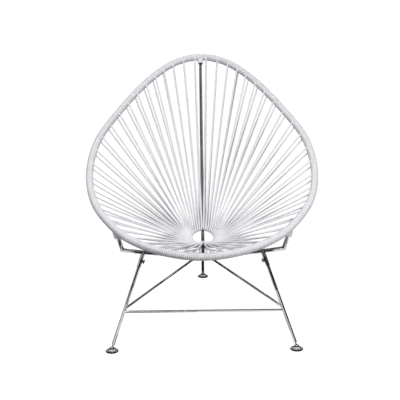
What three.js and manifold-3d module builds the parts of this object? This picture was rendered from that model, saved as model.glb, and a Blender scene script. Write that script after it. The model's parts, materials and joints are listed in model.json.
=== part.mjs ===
// Acapulco chair: a wound cord bowl on a hoop, carried by a three-legged rod base.
// Lengths are in millimetres. Z is up, the sitter looks along -Y, the feet stand on Z = 0.
import * as THREE from "three";
import { mergeVertices } from "three/addons/utils/BufferGeometryUtils.js";
import Module from "manifold-3d";

const wasm = await Module();
wasm.setup();

// General
const fitGap = 0.3; // left between pieces that touch
const mergeReach = 0.0005; // points closer than this become one
const rodRadius = 4.75; // bright steel rod of the spine and legs
const rodSides = 12;

// Hoop, on its centreline. The shares run from the front centre to the back centre.
const hoopRodRadius = 6.35;
const hoopHalfWidth = 353;
const hoopDepth = 744;
const hoopFrontHeight = 280;
const hoopBackHeight = 776;
const hoopFrontHandle = 250; // reach of the side view's first curve handle
const hoopBackHandle = 380;
const hoopFrontRise = 8; // degrees
const hoopBackRise = 45; // degrees
const hoopWidthShares = [0, 0.29, 0.6, 0.765, 0.936, 1, 0.949, 0.76, 0.489, 0.239, 0];
const hoopDepthShares = [0, 0.038, 0.138, 0.228, 0.362, 0.509, 0.645, 0.777, 0.907, 0.979, 1];
const hoopStations = 64;
const hoopSides = 8;

// Cord, round and hollow-cored, drawn solid
const cordRadius = 2.6;
const wrapRibs = 100;
const wrapSides = 8;
const wrapValley = 0.9; // depth of the groove between two turns
const cordSides = 5;
const loopTurnSteps = 4;
const sectorsPerSide = 5;
const loopsPerSector = 5;
const loopCrowding = 0.2; // how much closer the loops leave the hoop at its front and back
const loopStagger = 5; // the two strands of a loop leave the hoop this far to either side
const frontRingHalfGap = 14; // bare half length at the front of the ring

// Ring in the middle of the seat
const ringRadius = 46;
const ringRodRadius = 4;
const ringDepth = 205; // behind the hoop's front
const ringHeight = 281;
const ringTilt = 20; // degrees, back edge up
const ringSegments = 36;
const ringSides = 8;

// Spine under the seat
const spineFrontRun = 26; // straight run past the ring's front contact
const spineBackRun = 28.5; // straight run past the ring's back contact
const spineBendRadius = 45;
const bendSteps = 5;
const spineSamples = 800;

// Crossbar and uprights
const crossbarRadius = 6.35;
const loopsBeforeUpright = 7; // loops on the hoop between its front and an upright
const crossbarHalfLength = 237;
const crossbarEndHeight = 17.5; // of its ends above its middle
const crossbarSteps = 12;

// Cord turns round the ends of the spine and the uprights
const endWrapTurns = 4;

// Sleeves, set screws and legs
const sleeveRadius = 6.35;
const sleeveLength = 40;
const sleeveFreeDepth = 10; // left empty above the top of a leg
const sleeveSides = 20;
const frontSleeveOffset = 175; // from the middle of the crossbar
const rearSleeveDepth = 390;
const screwShankRadius = 2.5;
const screwHeadRadius = 6.5;
const screwHeadThickness = 3;
const screwHeadStandoff = 1.8; // bare shank between sleeve and head
const screwHeadLobes = 12;
const screwLobeDepth = 0.5;
const frontFootOffset = 262; // from the middle of the chair
const frontFootDepth = 10;
const rearFootDepth = 665;
const legEndClearance = 9.5; // from the foot's ball centre to the end of the rod

// Stretchers
const stretcherRadius = 3.75;
const stretcherHeight = 99;
const stretcherSideOffset = 5.6; // of a side stretcher's rear end from the middle of the rear leg

// Feet
const padRadius = 18.5;
const padThickness = 4.2;
const padRecess = 1.4; // depth of the seat in the pad's top
const padRim = 2; // width of the rim round the seat
const padBottomRound = 1;
const discThickness = 2.2;
const discDish = 1.2;
const ballRadius = 5;
const ballHeight = 10.5;
const neckRadius = 2.3;
const socketWall = 2.2;
const socketRise = 1.3; // of the socket's lip above the ball's centre
const footSides = 24;
const ballRings = 4;

const rodLook = { color: 0x8f9296, roughness: 0.14, metalness: 1 };
const cordLook = { color: 0xe9e8ec, roughness: 0.42, metalness: 0 };
const rubberLook = { color: 0x17171a, roughness: 0.6, metalness: 0 };
const discLook = { color: 0xb9bcc0, roughness: 0.38, metalness: 0 };
const screwLook = { color: 0x4a4c50, roughness: 0.25, metalness: 1 };

const up = new THREE.Vector3(0, 0, 1);
const right = new THREE.Vector3(1, 0, 0);
const fullTurn = Math.PI * 2;
const radians = THREE.MathUtils.degToRad;
const at = (x, y, z) => new THREE.Vector3(x, y, z);
const mirrored = (point) => at(-point.x, point.y, point.z);

const chair = new THREE.Group();
chair.name = "acapulco_chair";

function addMesh(parent, name, geometry, look) {
  geometry.computeVertexNormals();
  const mesh = new THREE.Mesh(geometry, new THREE.MeshStandardMaterial(look));
  mesh.name = name;
  parent.add(mesh);
  return mesh;
}

// Solids and meshes

function solidFrom(geometry) {
  const bare = geometry.clone();
  bare.deleteAttribute("normal");
  bare.deleteAttribute("uv");
  const merged = mergeVertices(bare, mergeReach);
  return new wasm.Manifold(
    new wasm.Mesh({
      numProp: 3,
      vertProperties: merged.attributes.position.array,
      triVerts: new Uint32Array(merged.index.array),
    }),
  );
}

function geometryFrom(solid) {
  const mesh = solid.getMesh();
  const geometry = new THREE.BufferGeometry();
  geometry.setAttribute("position", new THREE.BufferAttribute(mesh.vertProperties, mesh.numProp));
  geometry.setIndex(new THREE.BufferAttribute(mesh.triVerts, 1));
  return geometry;
}

const cutFrom = (geometry, cutters) =>
  geometryFrom(cutters.reduce((solid, cutter) => solid.subtract(solidFrom(cutter)), solidFrom(geometry)));

// Joins rings of points into a skin, closed on itself or capped at both ends.
function skinOver(rings, isClosed) {
  const sides = rings[0].length;
  const faces = [];
  const spans = isClosed ? rings.length : rings.length - 1;
  for (let i = 0; i < spans; i += 1) {
    const here = i * sides;
    const next = ((i + 1) % rings.length) * sides;
    for (let k = 0; k < sides; k += 1) {
      const after = (k + 1) % sides;
      faces.push(here + k, here + after, next + after, here + k, next + after, next + k);
    }
  }
  if (!isClosed) {
    const last = (rings.length - 1) * sides;
    for (let k = 1; k < sides - 1; k += 1) {
      faces.push(0, k + 1, k);
      faces.push(last, last + k, last + k + 1);
    }
  }
  const geometry = new THREE.BufferGeometry().setFromPoints(rings.flat());
  geometry.setIndex(faces);
  return geometry;
}

function ringRound(centre, side, lift, radius, sides) {
  return Array.from({ length: sides }, (_, k) => {
    const turn = (k / sides) * fullTurn;
    return centre
      .clone()
      .addScaledVector(side, radius * Math.cos(turn))
      .addScaledVector(lift, radius * Math.sin(turn));
  });
}

// A tube round a closed curve that never runs straight up, with one radius for each ring.
function closedTube(curve, radii, sides) {
  const rings = radii.map((radius, i) => {
    const along = curve.getTangentAt(i / radii.length);
    const side = up.clone().cross(along).normalize();
    const lift = along.clone().cross(side);
    return ringRound(curve.getPointAt(i / radii.length), side, lift, radius, sides);
  });
  return skinOver(rings, true);
}

// A solid rod through points, with each corner mitred.
function rodThrough(points, radius, sides, sideways) {
  const headings = points.slice(1).map((point, i) => point.clone().sub(points[i]).normalize());
  const lift = headings[0].clone().cross(sideways).normalize();
  const side = lift.clone().cross(headings[0]);
  const rings = [ringRound(points[0], side, lift, radius, sides)];
  headings.forEach((heading, i) => {
    const facing = heading.clone().add(headings[Math.min(i + 1, headings.length - 1)]).normalize();
    const ring = rings[i].map((place) => {
      const reach = points[i + 1].clone().sub(place).dot(facing) / heading.dot(facing);
      return place.clone().addScaledVector(heading, reach);
    });
    rings.push(ring);
  });
  return skinOver(rings, false);
}

// Rounds the inner corners of a line of points.
function withBends(points, radius, steps) {
  const path = [points[0]];
  for (let i = 1; i < points.length - 1; i += 1) {
    const before = points[i - 1].clone().sub(points[i]).normalize();
    const after = points[i + 1].clone().sub(points[i]).normalize();
    const reach = radius / Math.tan(before.angleTo(after) / 2);
    const bend = new THREE.QuadraticBezierCurve3(
      points[i].clone().addScaledVector(before, reach),
      points[i],
      points[i].clone().addScaledVector(after, reach),
    );
    path.push(...bend.getPoints(steps));
  }
  path.push(points[points.length - 1]);
  return path;
}

// Turns an outline of [radius, height] pairs about Z.
function turned(outline, sides) {
  const points = outline.map(([radius, height]) => new THREE.Vector2(radius, height));
  return new THREE.LatheGeometry(points, sides).rotateX(Math.PI / 2);
}

function rodBetween(from, to, radius) {
  const heading = to.clone().sub(from).normalize();
  const sideways = Math.abs(heading.z) > Math.abs(heading.x) ? right : up;
  return rodThrough([from, to], radius, rodSides, sideways);
}

// Hoop

const hoopPlan = new THREE.CatmullRomCurve3(
  [
    ...hoopWidthShares.map((share, i) => at(hoopHalfWidth * share, hoopDepth * hoopDepthShares[i], 0)),
    ...hoopWidthShares
      .map((share, i) => at(-hoopHalfWidth * share, hoopDepth * hoopDepthShares[i], 0))
      .slice(1, -1)
      .reverse(),
  ],
  true,
  "centripetal",
);

const hoopSideView = new THREE.CubicBezierCurve(
  new THREE.Vector2(0, hoopFrontHeight),
  new THREE.Vector2(
    hoopFrontHandle * Math.cos(radians(hoopFrontRise)),
    hoopFrontHeight + hoopFrontHandle * Math.sin(radians(hoopFrontRise)),
  ),
  new THREE.Vector2(
    hoopDepth - hoopBackHandle * Math.cos(radians(hoopBackRise)),
    hoopBackHeight - hoopBackHandle * Math.sin(radians(hoopBackRise)),
  ),
  new THREE.Vector2(hoopDepth, hoopBackHeight),
);

function hoopHeightAt(depth) {
  let low = 0;
  let high = 1;
  for (let i = 0; i < 40; i += 1) {
    const middle = (low + high) / 2;
    if (hoopSideView.getPoint(middle).x < depth) low = middle;
    else high = middle;
  }
  return hoopSideView.getPoint(low).y;
}

class HoopCurve extends THREE.Curve {
  getPoint(share, target = new THREE.Vector3()) {
    hoopPlan.getPoint(share, target);
    target.z = hoopHeightAt(target.y);
    return target;
  }
}

const hoopLine = new HoopCurve();
hoopLine.arcLengthDivisions = 800;
const hoopLength = hoopLine.getLength();

const hoopTube = (radius, stations = hoopStations) =>
  closedTube(hoopLine, Array(stations).fill(radius), hoopSides);
const wrapRadius = hoopRodRadius + cordRadius * 2;
const boreRadius = (hoopRodRadius + fitGap) / Math.cos(Math.PI / hoopSides);
const loopsPerSide = sectorsPerSide * loopsPerSector;

// The share of the hoop's length, from its front, at which a counted loop leaves it.
function loopShare(count) {
  const share = count / loopsPerSide;
  return (share - (loopCrowding * Math.sin(share * fullTurn)) / fullTurn) / 2;
}

function addHoop() {
  addMesh(chair, "hoop_rod", hoopTube(hoopRodRadius), rodLook);
}

// The cord wound round the hoop, with room for what is welded to the rod inside it.
function addHoopWrap(throughRods) {
  const radii = Array.from({ length: wrapRibs * 2 }, (_, i) => wrapRadius - (i % 2) * wrapValley);
  const skin = closedTube(hoopLine, radii, wrapSides);
  addMesh(chair, "hoop_cord_wrap", cutFrom(skin, [hoopTube(boreRadius), ...throughRods]), cordLook);
}

// Ring, in a frame of its own: "back" runs up its slope, "out" stands square to it

const ringCentre = at(0, ringDepth, ringHeight);
const ringBack = at(0, Math.cos(radians(ringTilt)), Math.sin(radians(ringTilt)));
const ringOut = at(0, -Math.sin(radians(ringTilt)), Math.cos(radians(ringTilt)));

function addRing() {
  const outline = Array.from({ length: ringSides + 1 }, (_, k) => {
    const turn = (k / ringSides) * fullTurn;
    return [ringRadius + ringRodRadius * Math.cos(turn), ringRodRadius * Math.sin(turn)];
  });
  const ring = addMesh(chair, "centre_ring", turned(outline, ringSegments), rodLook);
  ring.position.copy(ringCentre);
  ring.rotation.x = radians(ringTilt);
}

// Spine

const spineDrop = ringRodRadius + fitGap + rodRadius;
const underRing = (reach) =>
  ringCentre.clone().addScaledVector(ringBack, reach).addScaledVector(ringOut, -spineDrop);
const hoopFront = hoopLine.getPointAt(0);
const hoopBack = hoopLine.getPointAt(0.5);
const spineFrontCorner = underRing(-ringRadius - spineFrontRun);
const spineBackCorner = underRing(ringRadius + spineBackRun);

const alongLine = (from, to, depth) => from.clone().lerp(to, (depth - from.y) / (to.y - from.y));

const spineCorners = [hoopFront, spineFrontCorner, spineBackCorner, hoopBack];
const spinePath = withBends(spineCorners, spineBendRadius, bendSteps);

function addSpine() {
  const rod = rodThrough(spinePath, rodRadius, rodSides, right);
  addMesh(chair, "spine_rod", cutFrom(rod, [hoopTube(boreRadius)]), rodLook);
}

// The height at which a level rod, whose centre keeps a distance, fits close under the spine.
function heightUnderSpine(depth, distance) {
  const line = new THREE.CurvePath();
  for (let i = 1; i < spinePath.length; i += 1) {
    line.add(new THREE.LineCurve3(spinePath[i - 1], spinePath[i]));
  }
  const near = line.getSpacedPoints(spineSamples).filter((point) => Math.abs(point.y - depth) < distance);
  return Math.min(...near.map((point) => point.z - Math.sqrt(distance ** 2 - (point.y - depth) ** 2)));
}

// Crossbar and uprights: one line from hoop to hoop, welded where it is mitred

const hoopAtUpright = hoopLine.getPointAt(loopShare(loopsBeforeUpright));
const crossbarHeight = heightUnderSpine(hoopAtUpright.y, rodRadius + fitGap + crossbarRadius);

function crossbarAt(offset) {
  const rise = crossbarEndHeight * (offset / crossbarHalfLength) ** 2;
  return at(offset, hoopAtUpright.y, crossbarHeight + rise);
}

const crossbarPath = Array.from({ length: crossbarSteps + 1 }, (_, i) =>
  crossbarAt(crossbarHalfLength * ((2 * i) / crossbarSteps - 1)),
);
const crossbarRod = (radius) => rodThrough(crossbarPath, radius, rodSides, up);
const uprightFoot = crossbarPath[crossbarSteps];

// The plane of the mitre between the crossbar and an upright, facing the upright.
function mitreFacing(side) {
  const inward = uprightFoot.clone().sub(crossbarPath[crossbarSteps - 1]).normalize();
  const facing = inward.add(hoopAtUpright.clone().sub(uprightFoot).normalize()).normalize();
  return side > 0 ? facing : mirrored(facing);
}

function addCrossbar() {
  const path = [mirrored(hoopAtUpright), ...crossbarPath, hoopAtUpright];
  const tube = solidFrom(rodThrough(path, crossbarRadius, rodSides, right));
  const whole = tube.subtract(solidFrom(hoopTube(boreRadius)));
  let bar = whole;
  for (const [name, side] of [
    ["left_upright", -1],
    ["right_upright", 1],
  ]) {
    const facing = mitreFacing(side);
    const reach = facing.dot(side > 0 ? uprightFoot : mirrored(uprightFoot));
    addMesh(chair, name, geometryFrom(whole.trimByPlane(facing.toArray(), reach + fitGap / 2)), rodLook);
    bar = bar.trimByPlane(facing.clone().negate().toArray(), fitGap / 2 - reach);
    const ends = [hoopAtUpright, uprightFoot].map((end) => (side > 0 ? end : mirrored(end)));
    addEndWrap(name + "_cord_turns", ...ends, crossbarRadius);
  }
  addMesh(chair, "crossbar", geometryFrom(bar), rodLook);
}

// Legs: each runs from the ball of its foot to the centre of the tube that carries its sleeve

const legs = {
  front_left: { foot: at(-frontFootOffset, frontFootDepth, ballHeight), top: crossbarAt(-frontSleeveOffset) },
  front_right: { foot: at(frontFootOffset, frontFootDepth, ballHeight), top: crossbarAt(frontSleeveOffset) },
  rear: {
    foot: at(0, rearFootDepth, ballHeight),
    top: alongLine(spineBackCorner, hoopBack, rearSleeveDepth),
  },
};

for (const leg of Object.values(legs)) {
  leg.along = leg.top.clone().sub(leg.foot).normalize();
  leg.length = leg.top.distanceTo(leg.foot);
}

// A few turns of cord round the end of a rod, next to the hoop.
function addEndWrap(name, end, from, radius) {
  const bore = radius + fitGap;
  const crest = radius + cordRadius * 2;
  const pitch = cordRadius * 2 + fitGap;
  const length = endWrapTurns * pitch;
  const outline = [[bore, 0]];
  for (let i = 0; i < endWrapTurns; i += 1) {
    outline.push([crest - wrapValley, i * pitch]);
    outline.push([crest, (i + 0.5) * pitch]);
  }
  outline.push([crest - wrapValley, length], [bore, length], [bore, 0]);
  const away = from.clone().sub(end).normalize();
  const turns = turned(outline, rodSides);
  turns.applyQuaternion(new THREE.Quaternion().setFromUnitVectors(up, away));
  turns.translate(...end.clone().addScaledVector(away, wrapRadius - pitch / 2).toArray());
  addMesh(chair, name, cutFrom(turns, [hoopTube(wrapRadius + fitGap, wrapRibs * 2)]), cordLook);
}

// Legs

function addLeg(name, leg, carrier, screwHeading) {
  const frame = new THREE.Group();
  frame.position.copy(leg.foot);
  frame.quaternion.setFromUnitVectors(up, leg.along);
  chair.add(frame);

  const sleeveFoot = leg.length - carrierReach - sleeveLength;
  const legTop = leg.length - carrierReach - sleeveFreeDepth;
  const rod = new THREE.CylinderGeometry(rodRadius, rodRadius, legTop - legEndClearance, rodSides);
  rod.rotateX(Math.PI / 2);
  const legMesh = addMesh(frame, name + "_leg", rod, rodLook);
  legMesh.position.z = (legTop + legEndClearance) / 2;

  // The sleeve is a tube, coped to the rod above it and tapped for its set screw.
  const tube = turned(
    [
      [rodRadius + fitGap, sleeveFoot],
      [sleeveRadius, sleeveFoot],
      [sleeveRadius, leg.length],
      [rodRadius + fitGap, leg.length],
      [rodRadius + fitGap, sleeveFoot],
    ],
    sleeveSides,
  );
  const sideways = screwHeading.clone().addScaledVector(leg.along, -screwHeading.dot(leg.along)).normalize();
  const inFrame = sideways.clone().applyQuaternion(frame.quaternion.clone().invert());
  const screwHeight = sleeveFoot + sleeveLength / 2;
  const screwPlace = at(0, 0, screwHeight);
  const outside = screwPlace.clone().addScaledVector(inFrame, sleeveRadius * 2);
  const tapped = rodBetween(screwPlace, outside, screwShankRadius + fitGap);
  frame.updateMatrix();
  const carrierHere = carrier.clone().applyMatrix4(frame.matrix.clone().invert());
  addMesh(frame, name + "_sleeve", cutFrom(tube, [tapped, carrierHere]), rodLook);

  const screw = addMesh(frame, name + "_set_screw", screwGeometry(), screwLook);
  screw.position.copy(screwPlace).addScaledVector(inFrame, rodRadius + fitGap);
  screw.quaternion.setFromUnitVectors(up, inFrame);
  addFoot(name, leg);
}

const carrierReach = crossbarRadius + fitGap;

// A screw with its tip at the origin and its lobed head along Z.
function screwGeometry() {
  const neck = sleeveRadius - rodRadius - fitGap + screwHeadStandoff;
  const shank = rodBetween(at(0, 0, 0), at(0, 0, neck + screwHeadThickness / 2), screwShankRadius);
  const outline = new THREE.Shape();
  for (let i = 0; i < screwHeadLobes * 2; i += 1) {
    const turn = (i / (screwHeadLobes * 2)) * fullTurn;
    const radius = screwHeadRadius - (i % 2) * screwLobeDepth;
    if (i === 0) outline.moveTo(radius, 0);
    else outline.lineTo(radius * Math.cos(turn), radius * Math.sin(turn));
  }
  const head = new THREE.ExtrudeGeometry(outline, { depth: screwHeadThickness, bevelEnabled: false });
  head.translate(0, 0, neck);
  return geometryFrom(solidFrom(shank).add(solidFrom(head)));
}

// Foot: a rubber pad, a dished disc with a socket, and a ball stud that joins it to the leg

function addFoot(name, leg) {
  const foot = new THREE.Group();
  foot.position.set(leg.foot.x, leg.foot.y, 0);
  chair.add(foot);
  const seatHeight = padThickness - padRecess;
  const pad = turned(
    [
      [0, 0],
      [padRadius - padBottomRound, 0],
      [padRadius, padBottomRound],
      [padRadius, padThickness - padBottomRound],
      [padRadius - padBottomRound, padThickness],
      [padRadius - padRim, padThickness],
      [padRadius - padRim, seatHeight],
      [0, seatHeight],
    ],
    footSides,
  );
  addMesh(foot, name + "_foot_pad", pad, rubberLook);

  const discFoot = seatHeight + fitGap;
  const discRadius = padRadius - padRim - fitGap;
  const cavity = ballRadius + fitGap;
  const socketRadius = cavity + socketWall;
  const lip = Math.asin(socketRise / cavity);
  const inside = Array.from({ length: ballRings + 1 }, (_, i) => {
    const turn = lip + (-Math.PI / 2 - lip) * (i / ballRings);
    return [cavity * Math.cos(turn), ballHeight + cavity * Math.sin(turn)];
  });
  inside[ballRings][0] = 0;
  const disc = turned(
    [
      [0, discFoot],
      [discRadius, discFoot],
      [discRadius, discFoot + discThickness],
      [(discRadius + socketRadius) / 2, discFoot + discThickness - discDish],
      [socketRadius, discFoot + discThickness],
      [socketRadius, ballHeight + socketRise],
      ...inside,
    ],
    footSides,
  );
  addMesh(foot, name + "_foot_disc", disc, discLook);

  // The stud's ball and neck, turned as one.
  const neckTurn = Math.acos(neckRadius / ballRadius);
  const ball = Array.from({ length: ballRings * 2 + 1 }, (_, i) => {
    const turn = -Math.PI / 2 + (neckTurn + Math.PI / 2) * (i / (ballRings * 2));
    return [ballRadius * Math.cos(turn), ballRadius * Math.sin(turn)];
  });
  ball[0][0] = 0;
  const studTop = legEndClearance - fitGap;
  const stud = turned([...ball, [neckRadius, studTop], [0, studTop]], rodSides);
  const studMesh = addMesh(chair, name + "_foot_stud", stud, rodLook);
  studMesh.position.copy(leg.foot);
  studMesh.quaternion.setFromUnitVectors(up, leg.along);
}

// Stretchers join the legs at one height

const onLeg = (leg, height) => alongHeight(leg.foot, leg.top, height);
const alongHeight = (from, to, height) => from.clone().lerp(to, (height - from.z) / (to.z - from.z));
const legRod = (leg) => rodBetween(leg.foot, leg.top, rodRadius + fitGap);

function addStretchers() {
  const left = onLeg(legs.front_left, stretcherHeight);
  const rightEnd = onLeg(legs.front_right, stretcherHeight);
  const cutters = [legRod(legs.front_left), legRod(legs.front_right)];
  addMesh(chair, "front_stretcher", cutFrom(rodBetween(left, rightEnd, stretcherRadius), cutters), rodLook);
  const sideHeight = stretcherHeight + stretcherRadius * 2 + fitGap;
  for (const [name, leg, side] of [
    ["left_stretcher", legs.front_left, -1],
    ["right_stretcher", legs.front_right, 1],
  ]) {
    const front = onLeg(leg, sideHeight);
    const rear = onLeg(legs.rear, sideHeight);
    rear.x = side * stretcherSideOffset;
    const rod = rodBetween(front, rear, stretcherRadius);
    addMesh(chair, name, cutFrom(rod, [legRod(leg), legRod(legs.rear)]), rodLook);
  }
}

// Seat cords

const loopReach = ringRodRadius + fitGap + cordRadius;
const loopInside = ringRadius - loopReach / Math.cos(Math.PI / (2 * loopTurnSteps));
const frontHalfAngle = Math.asin(frontRingHalfGap / ringRadius);
const backHalfAngle = Math.asin((rodRadius + fitGap + cordRadius) / loopInside);
const sectorAngle = 2 * Math.asin((cordRadius + fitGap) / loopInside);
const loopAngle =
  (Math.PI - frontHalfAngle - backHalfAngle - (sectorsPerSide - 1) * sectorAngle) /
  (sectorsPerSide * (loopsPerSector - 1));

// Where a strand, wound on the hoop's rod, leaves the hoop towards a point.
function strandStart(share, towards, side, next) {
  const centre = hoopLine.getPointAt(share);
  const along = hoopLine.getTangentAt(share);
  const heading = towards.clone().sub(centre).normalize();
  const lift = heading.clone().cross(along).normalize();
  if (lift.z < 0) lift.negate();
  const tangentPlace = centre.addScaledVector(lift, side * (hoopRodRadius + cordRadius));
  if (!next) return tangentPlace;
  const run = next.clone().sub(tangentPlace).normalize();
  const clear = Math.sqrt((wrapRadius + fitGap) ** 2 - hoopRodRadius ** 2);
  return tangentPlace.addScaledVector(run, clear / run.clone().cross(along).length());
}

// One loop: down from the hoop's top, round the ring and back up under the hoop.
function cordLoop(side, sector, place) {
  const share = loopShare(sector * loopsPerSector + place + 0.5);
  const sectorStart = frontHalfAngle + sector * (sectorAngle + (loopsPerSector - 1) * loopAngle);
  const angle = sectorStart + place * loopAngle;
  const outward = right
    .clone()
    .multiplyScalar(side * Math.sin(angle))
    .addScaledVector(ringBack, -Math.cos(angle));
  const centre = ringCentre.clone().addScaledVector(outward, ringRadius);
  const stagger = loopStagger / hoopLength;
  const shares = [share + stagger, share - stagger].map((value) => (side > 0 ? value : 1 - value));
  const bearing = (place3d, turn) => {
    const ray = place3d.clone().sub(centre);
    const reach = Math.hypot(ray.dot(outward), ray.dot(ringOut));
    return Math.atan2(ray.dot(ringOut), ray.dot(outward)) + turn * Math.acos(loopReach / reach);
  };
  const start = bearing(strandStart(shares[0], centre, 1), 1);
  const end = bearing(strandStart(shares[1], centre, -1), -1) + fullTurn;
  const step = (end - start) / loopTurnSteps;
  const corners = Array.from({ length: loopTurnSteps }, (_, k) => {
    const turn = start + (k + 0.5) * step;
    const reach = loopReach / Math.cos(step / 2);
    return centre
      .clone()
      .addScaledVector(outward, reach * Math.cos(turn))
      .addScaledVector(ringOut, reach * Math.sin(turn));
  });
  const first = strandStart(shares[0], centre, 1, corners[0]);
  const last = strandStart(shares[1], centre, -1, corners[loopTurnSteps - 1]);
  const tangent = outward.clone().cross(ringOut);
  return rodThrough([first, ...corners, last], cordRadius, cordSides, tangent);
}

function addSeatCords() {
  for (const [word, side] of [
    ["left", -1],
    ["right", 1],
  ]) {
    for (let sector = 0; sector < sectorsPerSide; sector += 1) {
      let solid = null;
      for (let place = 0; place < loopsPerSector; place += 1) {
        const loop = solidFrom(cordLoop(side, sector, place));
        solid = solid ? solid.add(loop) : loop;
      }
      addMesh(chair, "seat_cords_" + word + "_" + (sector + 1), geometryFrom(solid), cordLook);
    }
  }
}

// Room in the hoop's winding for a rod that is welded to the hoop.
function wrapNotch(end, from, radius) {
  const outside = from.clone().sub(end).setLength(wrapRadius * 2).add(end);
  return rodBetween(end, outside, radius + fitGap);
}

addHoop();
addHoopWrap([
  wrapNotch(hoopFront, spineFrontCorner, rodRadius),
  wrapNotch(hoopBack, spineBackCorner, rodRadius),
  wrapNotch(hoopAtUpright, uprightFoot, crossbarRadius),
  wrapNotch(mirrored(hoopAtUpright), mirrored(uprightFoot), crossbarRadius),
]);
addRing();
addSpine();
addEndWrap("spine_cord_turns", hoopBack, spineBackCorner, rodRadius);
addCrossbar();
addLeg("front_left", legs.front_left, crossbarRod(crossbarRadius + fitGap), right);
addLeg("front_right", legs.front_right, crossbarRod(crossbarRadius + fitGap), right.clone().negate());
addLeg("rear", legs.rear, rodBetween(spineBackCorner, hoopBack, rodRadius + fitGap), up.clone().negate());
addStretchers();
addSeatCords();

// The frame's origin is on the floor, under the middle of the whole chair.
const box = new THREE.Box3().setFromObject(chair);
chair.position.set(-(box.min.x + box.max.x) / 2, -(box.min.y + box.max.y) / 2, -box.min.z);

export default chair;
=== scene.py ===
import json
import math

import bmesh
import bpy
import numpy as np
from mathutils import Matrix, Vector


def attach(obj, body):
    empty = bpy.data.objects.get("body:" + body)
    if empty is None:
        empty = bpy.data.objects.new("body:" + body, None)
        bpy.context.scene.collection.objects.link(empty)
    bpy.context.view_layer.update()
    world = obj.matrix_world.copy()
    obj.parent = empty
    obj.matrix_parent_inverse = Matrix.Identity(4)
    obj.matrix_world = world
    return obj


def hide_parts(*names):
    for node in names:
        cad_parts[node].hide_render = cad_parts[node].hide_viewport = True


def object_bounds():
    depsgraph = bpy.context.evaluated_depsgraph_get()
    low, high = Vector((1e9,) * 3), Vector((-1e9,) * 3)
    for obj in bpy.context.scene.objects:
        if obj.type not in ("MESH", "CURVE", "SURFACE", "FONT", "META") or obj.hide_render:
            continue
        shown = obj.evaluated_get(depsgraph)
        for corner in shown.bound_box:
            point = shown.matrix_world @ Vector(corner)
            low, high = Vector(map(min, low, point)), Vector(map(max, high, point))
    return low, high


# Metres, in the frame's own axes: Z up, the seat's front edge towards -Y.
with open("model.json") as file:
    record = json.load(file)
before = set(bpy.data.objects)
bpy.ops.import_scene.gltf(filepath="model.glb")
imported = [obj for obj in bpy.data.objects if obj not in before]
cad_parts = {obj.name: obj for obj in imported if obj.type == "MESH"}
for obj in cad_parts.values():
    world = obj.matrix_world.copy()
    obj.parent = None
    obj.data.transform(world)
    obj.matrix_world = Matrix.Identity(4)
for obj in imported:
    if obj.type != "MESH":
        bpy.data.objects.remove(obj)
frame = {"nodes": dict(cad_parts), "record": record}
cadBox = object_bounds()
mm = 0.001
fullTurn = 2 * math.pi
plainWhite = (1, 1, 1, 1)


# Helpers

def unit(vector):
    return vector / np.linalg.norm(vector)


def addObject(name, data):
    obj = bpy.data.objects.new(name, data)
    bpy.context.scene.collection.objects.link(obj)
    return obj


# An object of bare edges, with one polyline for each list of points.
def lineObject(name, lines, isClosed=False):
    points = []
    edges = []
    for line in lines:
        first = len(points)
        points.extend(tuple(map(float, p)) for p in line)
        edges.extend((first + i, first + i + 1) for i in range(len(line) - 1))
        if isClosed:
            edges.append((first + len(line) - 1, first))
    mesh = bpy.data.meshes.new(name)
    mesh.from_pydata(points, edges, [])
    return addObject(name, mesh)


def newTree(name, inputs):
    tree = bpy.data.node_groups.new(name, "GeometryNodeTree")
    tree.interface.new_socket("Geometry", in_out="INPUT", socket_type="NodeSocketGeometry")
    for label, kind in inputs.items():
        tree.interface.new_socket(label, in_out="INPUT", socket_type=kind)
    tree.interface.new_socket("Geometry", in_out="OUTPUT", socket_type="NodeSocketGeometry")
    return tree, tree.nodes.new("NodeGroupInput"), tree.nodes.new("NodeGroupOutput")


# Adds a node and wires its inputs: a value is a socket to link or a plain value.
def wired(tree, kind, inputs, **settings):
    node = tree.nodes.new(kind)
    for label, value in settings.items():
        setattr(node, label, value)
    for label, value in inputs.items():
        if isinstance(value, bpy.types.NodeSocket):
            tree.links.new(value, node.inputs[label])
        else:
            node.inputs[label].default_value = value
    return node


# Runs a tree on an object and keeps what it makes as a plain mesh that rides on a body.
def bake(obj, tree, values, body, replaced):
    modifier = obj.modifiers.new("build", "NODES")
    modifier.node_group = tree
    for item in tree.interface.items_tree:
        if item.item_type == "SOCKET" and item.in_out == "INPUT" and item.name in values:
            modifier[item.identifier] = values[item.name]
    graph = bpy.context.evaluated_depsgraph_get()
    made = bpy.data.meshes.new_from_object(obj.evaluated_get(graph))
    obj.modifiers.remove(modifier)
    obj.data = made
    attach(obj, body)
    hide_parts(*replaced)


# Materials

def newMaterial(name, settings):
    material = bpy.data.materials.new(name)
    material.use_nodes = True
    shader = material.node_tree.nodes["Principled BSDF"]
    for label, value in settings.items():
        shader.inputs[label].default_value = value
    return material, material.node_tree, shader


# Noise on the piece's own axes, so that it moves with the piece.
def objectNoise(tree, settings):
    place = wired(tree, "ShaderNodeTexCoord", {})
    return wired(tree, "ShaderNodeTexNoise", {"Vector": place.outputs["Object"], **settings})


def addRoughness(tree, shader, noise, limits):
    gloss = wired(tree, "ShaderNodeMapRange", {"Value": noise.outputs["Fac"], **limits})
    tree.links.new(gloss.outputs["Result"], shader.inputs["Roughness"])


def addBump(tree, shader, noise, height):
    bump = wired(tree, "ShaderNodeBump", {"Height": noise.outputs["Fac"], "Distance": height})
    tree.links.new(bump.outputs["Normal"], shader.inputs["Normal"])


cordLook = {
    "color": (0.86, 0.86, 0.885, 1),
    "shadeColor": (0.79, 0.79, 0.825, 1),
    "shadeBelow": 0.3,
    "colorAbove": 0.6,
    "roughness": 0.36,
    "sheen": 0.4,
    "mottleScale": 60,
    "grainScale": 900,
    "grainHeight": 0.04 * mm,
}


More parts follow.
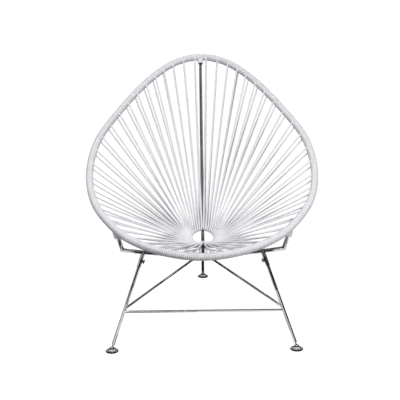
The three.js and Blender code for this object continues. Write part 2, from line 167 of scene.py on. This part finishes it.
# Extruded vinyl cord: a soft sheen, a slow change of tone and a fine drawn grain.
def cordMaterial():
    look = cordLook
    material, tree, shader = newMaterial(
        "white_cord", {"Roughness": look["roughness"], "Specular IOR Level": look["sheen"]}
    )
    mottle = objectNoise(tree, {"Scale": look["mottleScale"]})
    tone = wired(tree, "ShaderNodeValToRGB", {"Fac": mottle.outputs["Fac"]})
    shade, full = tone.color_ramp.elements
    shade.color = look["shadeColor"]
    shade.position = look["shadeBelow"]
    full.color = look["color"]
    full.position = look["colorAbove"]
    tree.links.new(tone.outputs["Color"], shader.inputs["Base Color"])
    addBump(tree, shader, objectNoise(tree, {"Scale": look["grainScale"]}), look["grainHeight"])
    return material


chromeLook = {
    "color": (0.56, 0.575, 0.585, 1),
    "edgeTint": (0.5, 0.52, 0.53, 1),
    "smoothRoughness": 0.08,
    "wornRoughness": 0.2,
    "smoothBelow": 0.35,
    "wornAbove": 0.75,
    "smearScale": 40,
    "smearDetail": 6,
    "scratchScale": 500,
    "scratchHeight": 0.01 * mm,
}


# Bright plating: polished, with faint smears and rubbed marks.
def chromeMaterial():
    look = chromeLook
    material, tree, shader = newMaterial(
        "bright_rod",
        {"Base Color": look["color"], "Specular Tint": look["edgeTint"], "Metallic": 1},
    )
    limits = {
        "From Min": look["smoothBelow"],
        "From Max": look["wornAbove"],
        "To Min": look["smoothRoughness"],
        "To Max": look["wornRoughness"],
    }
    smear = objectNoise(tree, {"Scale": look["smearScale"], "Detail": look["smearDetail"]})
    addRoughness(tree, shader, smear, limits)
    marks = objectNoise(tree, {"Scale": look["scratchScale"]})
    addBump(tree, shader, marks, look["scratchHeight"])
    return material


footLook = {
    "rubber": (0.008, 0.008, 0.009, 1),
    "rubberRoughness": 0.6,
    "rubberSheen": 0.12,
    "disc": (0.8, 0.81, 0.83, 1),
    # The dark disc colour paints the hub and the low rim; on the low rim it is also painted
    # contact shadow.
    "discShade": (0.03, 0.03, 0.033, 1),
    "discHeight": 12 * mm,
    "discBands": {0.37: "discShade", 0.42: "disc", 0.59: "disc", 0.67: "discShade"},
    "discRoughness": 0.4,
    "screw": (0.16, 0.17, 0.18, 1),
    "screwRoughness": 0.22,
    "roughnessSpread": 0.08,
    "grainScale": 1500,
    "grainHeight": 0.06 * mm,
}


# A piece of the feet or a screw: one colour, with a fine grain in its gloss and its surface.
def mouldedMaterial(name, color, roughness, settings):
    look = footLook
    material, tree, shader = newMaterial(name, {"Base Color": color, **settings})
    limits = {
        "To Min": roughness - look["roughnessSpread"],
        "To Max": roughness + look["roughnessSpread"],
    }
    grain = objectNoise(tree, {"Scale": look["grainScale"]})
    addRoughness(tree, shader, grain, limits)
    addBump(tree, shader, grain, look["grainHeight"])
    return material


def rubberMaterial():
    look = footLook
    sheen = {"Specular IOR Level": look["rubberSheen"]}
    return mouldedMaterial("pad_rubber", look["rubber"], look["rubberRoughness"], sheen)


# The foot's disc is light with a dark hub and a dark low rim, in bands by height. The low dark
# band is the rim's colour and also painted contact shadow where the foot meets the floor.
def discMaterial():
    look = footLook
    material = mouldedMaterial("disc_plastic", look["disc"], look["discRoughness"], {})
    tree = material.node_tree
    place = wired(tree, "ShaderNodeTexCoord", {})
    axes = wired(tree, "ShaderNodeSeparateXYZ", {"Vector": place.outputs["Object"]})
    share = wired(
        tree, "ShaderNodeMapRange", {"Value": axes.outputs["Z"], "From Max": look["discHeight"]}
    )
    bands = wired(tree, "ShaderNodeValToRGB", {"Fac": share.outputs["Result"]})
    ramp = bands.color_ramp
    ramp.elements.remove(ramp.elements[1])
    ramp.elements[0].color = look["discShade"]
    for position, label in look["discBands"].items():
        ramp.elements.new(position).color = look[label]
    shader = tree.nodes["Principled BSDF"]
    tree.links.new(bands.outputs["Color"], shader.inputs["Base Color"])
    return material


def screwMaterial():
    look = footLook
    return mouldedMaterial("screw_steel", look["screw"], look["screwRoughness"], {"Metallic": 1})


skins = {
    "cord": cordMaterial(),
    "bright_rod": chromeMaterial(),
    "pad_rubber": rubberMaterial(),
    "disc_plastic": discMaterial(),
    "screw_steel": screwMaterial(),
}
print("materials made")


# The frame's own pieces take their materials by slot.

record = frame["record"]
slotOf = {part["node"]: part["material_slot"] for part in record["subparts"]}
bodyOf = {name: body for body, names in record["behaviour"]["bodies"].items() for name in names}
for name, node in frame["nodes"].items():
    if not node.material_slots:
        node.data.materials.append(None)
    for holder in node.material_slots:
        holder.material = skins[slotOf[name]]
print("frame dressed")

smoothing = {"joinDistance": 0.001 * mm, "sharpAngle": math.radians(35)}


# A frame piece again, with its triangles joined so that its round sides shade round.
def addSmoothed(name, node):
    mesh = node.data.copy()
    mesh.name = name + "_smoothed"
    form = bmesh.new()
    form.from_mesh(mesh)
    bmesh.ops.remove_doubles(form, verts=form.verts, dist=smoothing["joinDistance"])
    form.to_mesh(mesh)
    form.free()
    mesh.shade_smooth()
    mesh.set_sharp_from_angle(angle=smoothing["sharpAngle"])
    obj = addObject(name + "_smoothed", mesh)
    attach(obj, bodyOf[name])
    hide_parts(name)


for name, node in list(frame["nodes"].items()):
    if slotOf[name] != "cord":
        addSmoothed(name, node)
print("metal and mouldings smoothed")


# The hoop's line, on the same sizes as the frame's. The shares run from its front to its back,
# and the handles and rises shape its side view, which is one smooth curve.

hoop = {
    "halfWidth": 353 * mm,
    "depth": 744 * mm,
    "frontHeight": 280 * mm,
    "backHeight": 776 * mm,
    "frontHandle": 250 * mm,
    "backHandle": 380 * mm,
    "frontRise": math.radians(8),
    "backRise": math.radians(45),
    "widthShares": [0, 0.29, 0.6, 0.765, 0.936, 1, 0.949, 0.76, 0.489, 0.239, 0],
    "depthShares": [0, 0.038, 0.138, 0.228, 0.362, 0.509, 0.645, 0.777, 0.907, 0.979, 1],
    "rodRadius": 6.35 * mm,
    "planSamples": 120,
    "sideSamples": 2000,
    "lineSamples": 1200,
}
cordRadius = 2.6 * mm
# The middle and the outside of the winding, measured from the hoop's line.
windRadius = hoop["rodRadius"] + cordRadius
wrapRadius = hoop["rodRadius"] + 2 * cordRadius
# The line's foremost place, and the share of its length at its back.
frontY = cadBox[0][1] + wrapRadius
backShare = 0.5


# A closed curve through points, eased by their distances so that it doesn't swing out.
def closedCurve(points, count):
    made = []
    total = len(points)
    t = np.linspace(0, 1, count, endpoint=False)[:, None]
    for index in range(total):
        a, b, c, d = (points[(index + step) % total] for step in (-1, 0, 1, 2))
        ta, tb, tc = (math.sqrt(np.linalg.norm(q - p)) for p, q in ((a, b), (b, c), (c, d)))
        start = ((b - a) / ta - (c - a) / (ta + tb) + (c - b) / tb) * tb
        end = ((c - b) / tb - (d - b) / (tb + tc) + (d - c) / tc) * tb
        square = 3 * (c - b) - 2 * start - end
        cube = 2 * (b - c) + start + end
        made.append(b + start * t + square * t**2 + cube * t**3)
    return np.concatenate(made)


# The plan view comes from the shares, and each point's height from the side view.
def hoopPoints():
    shares = np.array(list(zip(hoop["widthShares"], hoop["depthShares"])))
    half = shares * [hoop["halfWidth"], hoop["depth"]]
    otherHalf = half[-2:0:-1] * [-1, 1]
    plan = closedCurve(np.concatenate([half, otherHalf]), hoop["planSamples"])
    t = np.linspace(0, 1, hoop["sideSamples"])[:, None]
    front = np.array([0, hoop["frontHeight"]])
    back = np.array([hoop["depth"], hoop["backHeight"]])
    frontWay = np.array([math.cos(hoop["frontRise"]), math.sin(hoop["frontRise"])])
    backWay = np.array([math.cos(hoop["backRise"]), math.sin(hoop["backRise"])])
    side = (
        (1 - t) ** 3 * front
        + 3 * (1 - t) ** 2 * t * (front + hoop["frontHandle"] * frontWay)
        + 3 * (1 - t) * t**2 * (back - hoop["backHandle"] * backWay)
        + t**3 * back
    )
    height = np.interp(plan[:, 1], side[:, 0], side[:, 1])
    return np.column_stack([plan[:, 0], plan[:, 1] + frontY, height])


# A closed line again at even steps, and its length.
def evenly(points, count):
    closed = np.vstack([points, points[:1]])
    along = np.concatenate([[0], np.cumsum(np.linalg.norm(np.diff(closed, axis=0), axis=1))])
    places = np.linspace(0, along[-1], count, endpoint=False)
    line = np.column_stack([np.interp(places, along, closed[:, axis]) for axis in range(3)])
    return line, along[-1]


hoopLine, hoopLength = evenly(hoopPoints(), hoop["lineSamples"])


# A place on the hoop and the heading there, at a share of its length from the front.
def onHoop(share):
    count = len(hoopLine)
    whole = math.floor(share * count)
    here, after = hoopLine[whole % count], hoopLine[(whole + 1) % count]
    return here + (after - here) * (share * count - whole), unit(after - here)


# The same share on the right side of the chair or, for a side of -1, on the left.
def onSide(share, side):
    return share if side > 0 else 1 - share


# Cord, as a tube along a line. Turns round a rod are drawn a little thicker than their pitch, so
# that no gap shows between them, and sunk a little into the rod, so that their outside stays.

winding = {
    "stepsPerTurn": 14,
    "sides": 8,
    "pitch": 5.6 * mm,
    "cordRadius": 2.9 * mm,
    "sink": 0.25 * mm,
}


def finishTube(tree, curve, given, result):
    section = wired(
        tree,
        "GeometryNodeCurvePrimitiveCircle",
        {"Resolution": given.outputs["Sides"], "Radius": given.outputs["Cord Radius"]},
    )
    tube = wired(
        tree,
        "GeometryNodeCurveToMesh",
        {"Curve": curve, "Profile Curve": section.outputs[0], "Fill Caps": True},
    )
    smooth = wired(tree, "GeometryNodeSetShadeSmooth", {"Geometry": tube.outputs[0]})
    real = wired(tree, "GeometryNodeRealizeInstances", {"Geometry": smooth.outputs[0]})
    skin = wired(
        tree,
        "GeometryNodeSetMaterial",
        {"Geometry": real.outputs[0], "Material": given.outputs["Skin"]},
    )
    tree.links.new(skin.outputs[0], result.inputs["Geometry"])


def strandTree():
    tree, given, result = newTree(
        "cord_strands",
        {
            "Cord Radius": "NodeSocketFloat",
            "Sides": "NodeSocketInt",
            "Skin": "NodeSocketMaterial",
        },
    )
    line = wired(tree, "GeometryNodeMeshToCurve", {"Mesh": given.outputs["Geometry"]})
    finishTube(tree, line.outputs[0], given, result)
    return tree


# The line is walked in small steps, and each step is moved out and turned on round the line.
def windingTree():
    tree, given, result = newTree(
        "cord_winding",
        {
            "Point Count": "NodeSocketInt",
            "Step Angle": "NodeSocketFloat",
            "Wind Radius": "NodeSocketFloat",
            "Cord Radius": "NodeSocketFloat",
            "Sides": "NodeSocketInt",
            "Skin": "NodeSocketMaterial",
        },
    )
    line = wired(tree, "GeometryNodeMeshToCurve", {"Mesh": given.outputs["Geometry"]})
    level = wired(tree, "GeometryNodeSetCurveNormal", {"Curve": line.outputs[0]}, mode="Z_UP")
    steps = wired(
        tree,
        "GeometryNodeResampleCurve",
        {"Curve": level.outputs[0], "Count": given.outputs["Point Count"]},
    )
    place = wired(tree, "GeometryNodeInputIndex", {})
    turn = wired(
        tree,
        "ShaderNodeMath",
        {0: place.outputs[0], 1: given.outputs["Step Angle"]},
        operation="MULTIPLY",
    )
    heading = wired(tree, "GeometryNodeInputTangent", {})
    side = wired(tree, "GeometryNodeInputNormal", {})
    turned = wired(
        tree,
        "ShaderNodeVectorRotate",
        {"Vector": side.outputs[0], "Axis": heading.outputs[0], "Angle": turn.outputs[0]},
        rotation_type="AXIS_ANGLE",
    )
    outward = wired(
        tree,
        "ShaderNodeVectorMath",
        {0: turned.outputs[0], "Scale": given.outputs["Wind Radius"]},
        operation="SCALE",
    )
    wound = wired(
        tree,
        "GeometryNodeSetPosition",
        {"Geometry": steps.outputs[0], "Offset": outward.outputs[0]},
    )
    finishTube(tree, wound.outputs[0], given, result)
    return tree


windingNodes = windingTree()
strandNodes = strandTree()


def addWinding(name, line, isClosed, turns, radius, replaced):
    values = {
        "Point Count": turns * winding["stepsPerTurn"] + (0 if isClosed else 1),
        "Step Angle": fullTurn / winding["stepsPerTurn"],
        "Wind Radius": radius - winding["sink"],
        "Cord Radius": winding["cordRadius"],
        "Sides": winding["sides"],
        "Skin": skins["cord"],
    }
    obj = lineObject(name, [line], isClosed)
    bake(obj, windingNodes, values, "chair_frame", replaced)


hoopTurns = round(hoopLength / winding["pitch"])
addWinding("hoop_winding", hoopLine, True, hoopTurns, windRadius, ["hoop_cord_wrap"])
print("hoop wound", hoopTurns, "turns")


# The ring's directions: "back" climbs its slope and "out" stands square to it.

ring = {"radius": 46 * mm, "depth": 205 * mm, "height": 281 * mm, "tilt": math.radians(20)}
ringCentre = np.array([0, frontY + ring["depth"], ring["height"]])
ringBack = np.array([0, math.cos(ring["tilt"]), math.sin(ring["tilt"])])
ringOut = np.array([0, -math.sin(ring["tilt"]), math.cos(ring["tilt"])])
across = np.array([1.0, 0, 0])

# Loops are counted on each side from the hoop's front, and angles in degrees from the ring's.
net = {
    "roots": 50,
    "crowding": 0.2,
    "hoopStagger": 6.5 * mm,
    "topLoops": 3,
    "nextToTopStagger": 0.4,
    "shiftLoops": [5, 9, 17, 24],
    "ringShifts": [-2.6 * mm, -5 * mm, -5 * mm, 2.2 * mm],
    "frontAngles": [6.3, 7.4, 8.5, 19, 22.5, 30],
    "frontLayers": [0, 1, 2, 0, 1, 0],
    "layerRise": 2.2 * mm,
    "sideAngle": 36,
    "backAngle": 173.5,
    "loopReach": 6.9 * mm,
    "leastSlant": 0.6,
    "innerReaches": [10 * mm, 11.5 * mm],
    "sideReach": 14.5 * mm,
    "bendSamples": 180,
    "bendPoints": 17,
    "rootLift": 5.8 * mm,
    "sides": 10,
}
loopsPerSide = net["roots"] // 2


# The roots crowd together a little at the hoop's front and back.
def rootShare(index):
    share = 2 * (index + 0.5) / net["roots"]
    return (share - net["crowding"] * math.sin(share * fullTurn) / fullTurn) / 2


# How far each of a loop's strands leaves the hoop from the loop's place on it, as a share of
# the hoop's length. The top loops' two strands leave it one above the other.
def rootStagger(index):
    fromTop = loopsPerSide - 1 - index
    stagger = net["hoopStagger"] / hoopLength
    if fromTop < net["topLoops"]:
        return 0
    return stagger * (net["nextToTopStagger"] if fromTop == net["topLoops"] else 1)


# Where a loop hooks the ring, as an angle from the ring's front.
def contactAngle(index):
    front = net["frontAngles"]
    if index < len(front):
        return math.radians(front[index])
    share = (index - len(front)) / (net["roots"] / 2 - 1 - len(front))
    return math.radians(net["sideAngle"] + (net["backAngle"] - net["sideAngle"]) * share)


# The end of a strand, inside the hoop's winding: it leaves over or under the hoop's rod.
def hoopEnd(share, target, level):
    centre, along = onHoop(share)
    lift = unit(np.cross(target - centre, along))
    if lift[2] < 0:
        lift = -lift
    return centre + lift * level * net["rootLift"]


# One loop: from over the hoop's rod in to the ring, round its rod and back out under the hoop's.
def loopPath(side, index):
    angle = contactAngle(index)
    outward = across * side * math.sin(angle) - ringBack * math.cos(angle)
    centre = ringCentre + outward * ring["radius"]
    share = rootShare(index)
    root, along = onHoop(onSide(share, side))
    run = root - centre
    run = unit(run - ringOut * (run @ ringOut))
    sideways = np.cross(ringOut, run)
    if sideways @ (along * side) < 0:
        sideways = -sideways
    layer = 0
    if index < len(net["frontLayers"]):
        layer = net["frontLayers"][index] * net["layerRise"]
    rise = net["loopReach"] + layer
    outer = rise / max(run @ outward, net["leastSlant"])
    inner = net["innerReaches"][index % 2] + net["sideReach"] * math.sin(angle) ** 2 + layer

    # The loop's bend, seen along the rod of the ring.
    def bendPoint(turn):
        reach = outer if math.cos(turn) > 0 else inner
        return np.array([math.cos(turn) * reach, math.sin(turn) * rise])

    # Each strand runs straight from the hoop to the point where it just touches the bend.
    turns = np.linspace(0, fullTurn, net["bendSamples"], endpoint=False)
    section = np.array([bendPoint(turn) for turn in turns])
    stagger = rootStagger(index)
    ends = []
    touches = []
    for level in (1, -1):
        end = hoopEnd(onSide(share + level * stagger, side), centre, level)
        ray = end - centre
        steepness = np.arctan2(ray @ ringOut - section[:, 1], ray @ run - section[:, 0])
        touches.append(turns[np.argmin(steepness) if level > 0 else np.argmax(steepness)])
        ends.append(end)

    # Round the bend the cord steps sideways. Below zero, the step makes its two strands cross.
    step = np.interp(index, net["shiftLoops"], net["ringShifts"])
    bend = []
    for part in np.linspace(0, 1, net["bendPoints"]):
        flat = bendPoint(touches[0] + (touches[1] - touches[0]) * part)
        shift = step * (1 - 2 * part)
        bend.append(centre + run * flat[0] + ringOut * flat[1] + sideways * shift)
    return [ends[0], *bend, ends[1]]


strands = [loopPath(side, index) for side in (1, -1) for index in range(loopsPerSide)]
netNodes = [name for name in frame["nodes"] if name.startswith("seat_cords")]
strandValues = {"Cord Radius": cordRadius, "Sides": net["sides"], "Skin": skins["cord"]}
strandLines = lineObject("seat_strands", strands)
bake(strandLines, strandNodes, strandValues, "chair_frame", netNodes)
print("loops laid", len(strands))


# A few turns of cord at the end of a rod that is welded to the hoop.

endTurns = {
    "turns": 4,
    "spineRadius": 4.75 * mm,
    "uprightRadius": 6.35 * mm,
    "loopsBeforeUpright": 7,
    "rimDepth": 1.5 * mm,
}


# The rod's line, from the hoop to the far rim of the frame's own turns.
def rodEndLine(node, share):
    start = onHoop(share)[0]
    mesh = frame["nodes"][node].data
    corners = np.unique(np.round([list(v.co) for v in mesh.vertices], 6), axis=0)
    reach = (corners - start) @ unit(corners.mean(axis=0) - start)
    end = corners[reach > reach.max() - endTurns["rimDepth"]].mean(axis=0)
    heading = unit(end - start)
    return [start + heading * (wrapRadius - cordRadius), end - heading * cordRadius]


def addEndTurns(name, node, share, rodRadius):
    line = rodEndLine(node, share)
    addWinding(name, line, False, endTurns["turns"], rodRadius + cordRadius, [node])


rightShare = rootShare(endTurns["loopsBeforeUpright"] - 0.5)
leftShare = 1 - rightShare
uprightRadius = endTurns["uprightRadius"]
addEndTurns("spine_end_turns", "spine_cord_turns", backShare, endTurns["spineRadius"])
addEndTurns("right_end_turns", "right_upright_cord_turns", rightShare, uprightRadius)
addEndTurns("left_end_turns", "left_upright_cord_turns", leftShare, uprightRadius)
print("rod ends wound")


# World, floor, lamps, flags and camera

stage = {
    "size": 30.0,
    "floorColor": (0.30, 0.30, 0.30, 1),
    "floorGlow": 0.94,
    "worldLight": 0.3,
    "worldSeen": 1.0,
}


# 1 for a ray from the camera, off a gloss or through glass, and 0 for any other.
def seenByRays(tree):
    path = wired(tree, "ShaderNodeLightPath", {})
    seen = path.outputs["Is Camera Ray"]
    for label in ("Is Glossy Ray", "Is Transmission Ray"):
        both = {0: seen, 1: path.outputs[label]}
        seen = wired(tree, "ShaderNodeMath", both, operation="MAXIMUM").outputs[0]
    return seen


def addWorld():
    world = bpy.data.worlds.new("studio")
    bpy.context.scene.world = world
    world.use_nodes = True
    tree = world.node_tree
    light = tree.nodes["Background"]
    light.inputs["Color"].default_value = plainWhite
    light.inputs["Strength"].default_value = stage["worldLight"]
    seen = wired(
        tree, "ShaderNodeBackground", {"Color": plainWhite, "Strength": stage["worldSeen"]}
    )
    mix = wired(tree, "ShaderNodeMixShader", {0: seenByRays(tree)})
    tree.links.new(light.outputs[0], mix.inputs[1])
    tree.links.new(seen.outputs[0], mix.inputs[2])
    tree.links.new(mix.outputs[0], tree.nodes["World Output"].inputs["Surface"])


def planeObject(name, corners, material):
    mesh = bpy.data.meshes.new(name)
    mesh.from_pydata(corners, [], [(0, 1, 2, 3)])
    mesh.materials.append(material)
    obj = addObject(name, mesh)
    return obj


# White paper that keeps the chair's soft shadow: the rays that see it add most of its white.
def addFloor():
    material, tree, shader = newMaterial(
        "floor_paper",
        {
            "Base Color": stage["floorColor"],
            "Roughness": 1.0,
            "Specular IOR Level": 0,
            "Emission Color": plainWhite,
        },
    )
    glow = wired(
        tree, "ShaderNodeMath", {0: seenByRays(tree), 1: stage["floorGlow"]}, operation="MULTIPLY"
    )
    tree.links.new(glow.outputs[0], shader.inputs["Emission Strength"])
    half = stage["size"] / 2
    corners = [(-half, -half, 0), (half, -half, 0), (half, half, 0), (-half, half, 0)]
    planeObject("floor", corners, material)


lamps = {
    "key": {"place": (-0.8, -1.4, 2.8), "size": (0.5, 0.5), "power": 39},
    "fill": {"place": (1.5, -1.6, 1.2), "size": (1.0, 1.0), "power": 20},
}
lampTarget = (0, 0, 0.4)


def addLamp(name, place, size, power):
    lamp = bpy.data.lights.new(name, "AREA")
    lamp.shape = "RECTANGLE"
    lamp.size, lamp.size_y = size
    lamp.energy = power
    obj = addObject(name, lamp)
    obj.location = place
    aim = Vector(lampTarget) - Vector(place)
    obj.rotation_euler = aim.to_track_quat("-Z", "Y").to_euler()


# Each flag's corners, one after the other round its edge.
flags = {
    "near_flag": [
        (-0.75, -0.6, 0.45), (0.75, -0.6, 0.45), (0.75, -0.6, 1.35), (-0.75, -0.6, 1.35)
    ],
    "front_flag": [
        (-0.9, -1.5, 0.95), (0.3, -1.5, 0.95), (0.3, -1.5, 1.75), (-0.9, -1.5, 1.75)
    ],
    "left_near_floor_flag": [
        (-0.24, -0.6, 0.002), (-0.02, -0.6, 0.002), (-0.02, -0.34, 0.002), (-0.24, -0.34, 0.002)
    ],
    "right_front_flag": [
        (0.3, -1.5, 0.9), (1.0, -1.5, 0.66), (1.0, -1.5, 2.2), (0.3, -1.5, 2.2)
    ],
    "far_right_front_flag": [
        (1.0, -1.5, 0.66), (2.6, -1.5, 0.4), (2.6, -1.5, 2.2), (1.0, -1.5, 2.2)
    ],
    "ceiling_flag": [
        (-0.45, -0.62, 2.2), (3.5, -0.62, 2.2), (3.5, 2.2, 2.3), (-0.45, 2.2, 2.3)
    ],
    "middle_ceiling_flag": [
        (-0.05, -0.95, 2.2), (3.5, -0.95, 2.2), (3.5, -0.62, 2.2), (-0.05, -0.62, 2.2)
    ],
    "front_ceiling_flag": [
        (0.3, -1.35, 2.2), (3.5, -1.35, 2.2), (3.5, -0.95, 2.2), (0.3, -0.95, 2.2)
    ],
    "right_flag": [
        (2.6, -1.5, 0.45), (2.6, 2.0, 0.45), (2.8, 2.0, 3.2), (2.8, -1.5, 3.2)
    ],
    "back_flag": [
        (-1.2, 3.0, 0.25), (1.2, 3.0, 0.25), (1.2, 3.0, 1.85), (-1.2, 3.0, 1.85)
    ],
    "back_right_flag": [
        (1.2, 3.0, 0.25), (4.5, -0.5, 0.25), (4.5, -0.5, 1.5), (1.2, 3.0, 1.5)
    ],
    "back_left_flag": [
        (-1.2, 3.0, 0.25), (-4.5, -0.5, 0.25), (-4.5, -0.5, 1.5), (-1.2, 3.0, 1.5)
    ],
    "far_floor_flag": [
        (-4, 0.5, 0.002), (4, 0.5, 0.002), (4, 4, 0.002), (-4, 4, 0.002)
    ],
    "near_floor_flag": [
        (-0.12, 0, 0.002), (0.12, 0, 0.002), (0.12, 0.5, 0.002), (-0.12, 0.5, 0.002)
    ],
    "left_floor_flag": [
        (-0.9, -2.6, 0.002), (-0.1, -2.6, 0.002), (-0.1, -0.9, 0.002), (-0.9, -0.9, 0.002)
    ],
    "crossbar_flag": [
        (-0.225, -0.3, 0.16), (0.225, -0.3, 0.16), (0.225, -0.3, 0.33), (-0.225, -0.3, 0.33)
    ],
    "left_ceiling_flag": [
        (-1.9, 0.7, 2.2), (-0.45, 0.7, 2.2), (-0.45, 2.2, 2.3), (-1.9, 2.2, 2.3)
    ],
}
flagColor = (0.012, 0.012, 0.014, 1)


# A dark flag, seen by gloss rays alone, gives the plating its dark bands.
def addFlag(name, corners):
    material = newMaterial(name, {"Base Color": flagColor, "Roughness": 1.0})[0]
    flag = planeObject(name, corners, material)
    flag.visible_camera = False
    flag.visible_diffuse = False
    flag.visible_shadow = False
    flag.visible_transmission = False


# Focal length and sensor are in millimetres, places in metres and angles in degrees.
camera = {
    "focal": 75,
    "sensor": 36,
    "distance": 2.567,
    "height": 0.96,
    "sideStep": -7.2 * mm,
    "pitch": 13.3,
    "roll": -0.7,
}


def addCamera():
    data = bpy.data.cameras.new("camera")
    data.lens = camera["focal"]
    data.sensor_width = camera["sensor"]
    obj = addObject("camera", data)
    place = Matrix.Translation((camera["sideStep"], -camera["distance"], camera["height"]))
    pitch = Matrix.Rotation(math.radians(90 - camera["pitch"]), 4, "X")
    roll = Matrix.Rotation(math.radians(camera["roll"]), 4, "Z")
    obj.matrix_world = place @ pitch @ roll
    bpy.context.scene.camera = obj


addWorld()
addFloor()
for name, lamp in lamps.items():
    addLamp(name, **lamp)
for name, corners in flags.items():
    addFlag(name, corners)
addCamera()
bpy.context.scene.view_settings.view_transform = "Standard"
print("stage set")
